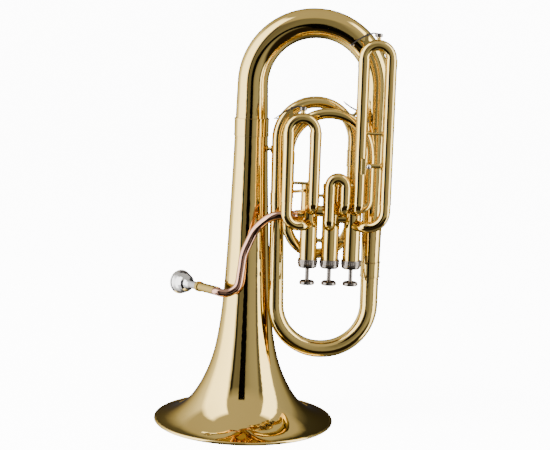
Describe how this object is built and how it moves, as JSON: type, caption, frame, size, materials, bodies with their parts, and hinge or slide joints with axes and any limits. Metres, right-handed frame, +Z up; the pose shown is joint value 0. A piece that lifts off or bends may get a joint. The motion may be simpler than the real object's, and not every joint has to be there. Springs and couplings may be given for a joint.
{
  "type": "euphonium",
  "caption": "Brass euphonium with in-line piston valves, pull-out tuning slides and water keys, standing on its bell rim with its finger buttons down.",
  "frame": {"origin": "centre of the bell rim, on the surface the instrument stands on", "axes": "+Z up from the bell rim along the bell's axis, +X from the bell towards the valves, -Y towards the side the valve slides are on"},
  "size_m": [0.351, 0.28, 0.6416],
  "materials": {
    "lacquered_brass": "polished, clear lacquer",
    "rose_brass": "polished, clear lacquer",
    "silver_plate": "polished silver plate",
    "nickel_plate": "polished nickel plate",
    "felt": "felt",
    "spring_steel": "drawn wire"
  },
  "bodies": {
    "body": {"bell": "lacquered_brass", "bell_ferrule": "lacquered_brass", "main_bow": "lacquered_brass", "lower_bow": "lacquered_brass", "return_crook": "lacquered_brass", "rear_bow": "lacquered_brass", "tube_ferrules": "lacquered_brass", "leadpipe_ferrule": "lacquered_brass", "mouthpiece_receiver": "lacquered_brass", "valve_knuckles": "lacquered_brass", "valve_stays": "lacquered_brass", "first_slide_tubes": "lacquered_brass", "second_slide_tubes": "lacquered_brass", "third_slide_tubes": "lacquered_brass", "exit_elbow": "lacquered_brass", "tuning_slide_tubes": "lacquered_brass", "slide_braces": "lacquered_brass", "body_braces": "lacquered_brass", "lyre_socket": "lacquered_brass", "leadpipe": "rose_brass", "valve_bottom_caps": "lacquered_brass", "valve_guides": "nickel_plate", "cap_felts": "felt", "valve_1_casing": "lacquered_brass", "valve_1_top_cap": "nickel_plate", "valve_1_spring": "spring_steel", "valve_2_casing": "lacquered_brass", "valve_2_top_cap": "nickel_plate", "valve_2_spring": "spring_steel", "valve_3_casing": "lacquered_brass", "valve_3_top_cap": "nickel_plate", "valve_3_spring": "spring_steel"},
    "valve_1": {"valve_1_piston": "nickel_plate", "valve_1_stem": "nickel_plate", "valve_1_button": "nickel_plate"},
    "valve_2": {"valve_2_piston": "nickel_plate", "valve_2_stem": "nickel_plate", "valve_2_button": "nickel_plate"},
    "valve_3": {"valve_3_piston": "nickel_plate", "valve_3_stem": "nickel_plate", "valve_3_button": "nickel_plate"},
    "first_slide": {"first_slide_bow": "lacquered_brass", "first_slide_legs": "lacquered_brass", "first_slide_water_key_saddle": "lacquered_brass", "first_slide_water_key_screw": "nickel_plate"},
    "first_slide_key": {"first_slide_water_key": "nickel_plate"},
    "second_slide": {"second_slide_bow": "lacquered_brass", "second_slide_legs": "lacquered_brass"},
    "third_slide": {"third_slide_bow": "lacquered_brass", "third_slide_legs": "lacquered_brass", "third_slide_water_key_saddle": "lacquered_brass", "third_slide_water_key_screw": "nickel_plate"},
    "third_slide_key": {"third_slide_water_key": "nickel_plate"},
    "tuning_slide": {"tuning_slide_bow": "lacquered_brass", "tuning_slide_legs": "lacquered_brass", "tuning_slide_water_key_saddle": "lacquered_brass", "tuning_slide_water_key_screw": "nickel_plate"},
    "tuning_slide_key": {"tuning_slide_water_key": "nickel_plate"},
    "mouthpiece": {"mouthpiece": "silver_plate"},
    "lyre_screw": {"lyre_screw": "silver_plate"}
  },
  "joints": [
    {"name": "valve_1_press", "type": "slide", "parent": "body", "child": "valve_1", "axis": [0, 0, 1], "range_m": [0, 0.017], "stiffness_N_per_m": 110, "springref_m": -0.018, "deforming": ["valve_1_spring"]},
    {"name": "valve_2_press", "type": "slide", "parent": "body", "child": "valve_2", "axis": [0, 0, 1], "range_m": [0, 0.017], "stiffness_N_per_m": 110, "springref_m": -0.018, "deforming": ["valve_2_spring"]},
    {"name": "valve_3_press", "type": "slide", "parent": "body", "child": "valve_3", "axis": [0, 0, 1], "range_m": [0, 0.017], "stiffness_N_per_m": 110, "springref_m": -0.018, "deforming": ["valve_3_spring"]},
    {"name": "first_slide_pull", "type": "slide", "parent": "body", "child": "first_slide", "axis": [0, 0, 1], "range_m": [0, 0.06]},
    {"name": "second_slide_pull", "type": "slide", "parent": "body", "child": "second_slide", "axis": [0, 0, 1], "range_m": [0, 0.01]},
    {"name": "third_slide_pull", "type": "slide", "parent": "body", "child": "third_slide", "axis": [0, 0, 1], "range_m": [0, 0.09]},
    {"name": "tuning_slide_pull", "type": "slide", "parent": "body", "child": "tuning_slide", "axis": [0, 0, 1], "range_m": [0, 0.04]},
    {"name": "first_slide_key_press", "type": "hinge", "parent": "first_slide", "child": "first_slide_key", "pos_m": [0.0594, -0.08, 0.4944], "axis": [0, -1, 0], "range_deg": [0, 15], "stiffness_Nm_per_rad": 0.05, "springref_deg": -20.05},
    {"name": "third_slide_key_press", "type": "hinge", "parent": "third_slide", "child": "third_slide_key", "pos_m": [0.1654, -0.08, 0.604], "axis": [0, -1, 0], "range_deg": [0, 15], "stiffness_Nm_per_rad": 0.05, "springref_deg": -20.05},
    {"name": "tuning_slide_key_press", "type": "hinge", "parent": "tuning_slide", "child": "tuning_slide_key", "pos_m": [0.15881, -0.03994, 0.49066], "axis": [-0.0539, -0.9985, 0], "range_deg": [0, 15], "stiffness_Nm_per_rad": 0.05, "springref_deg": -20.05},
    {"name": "mouthpiece_pull", "type": "slide", "parent": "body", "child": "mouthpiece", "axis": [-0.534, 0.844, -0.05], "range_m": [0, 0.03]},
    {"name": "lyre_screw_turn", "type": "hinge", "parent": "body", "child": "lyre_screw", "pos_m": [0.1746, -0.0921, 0.4135], "axis": [1, 0, 0], "range_deg": [0, 360]}
  ]
}
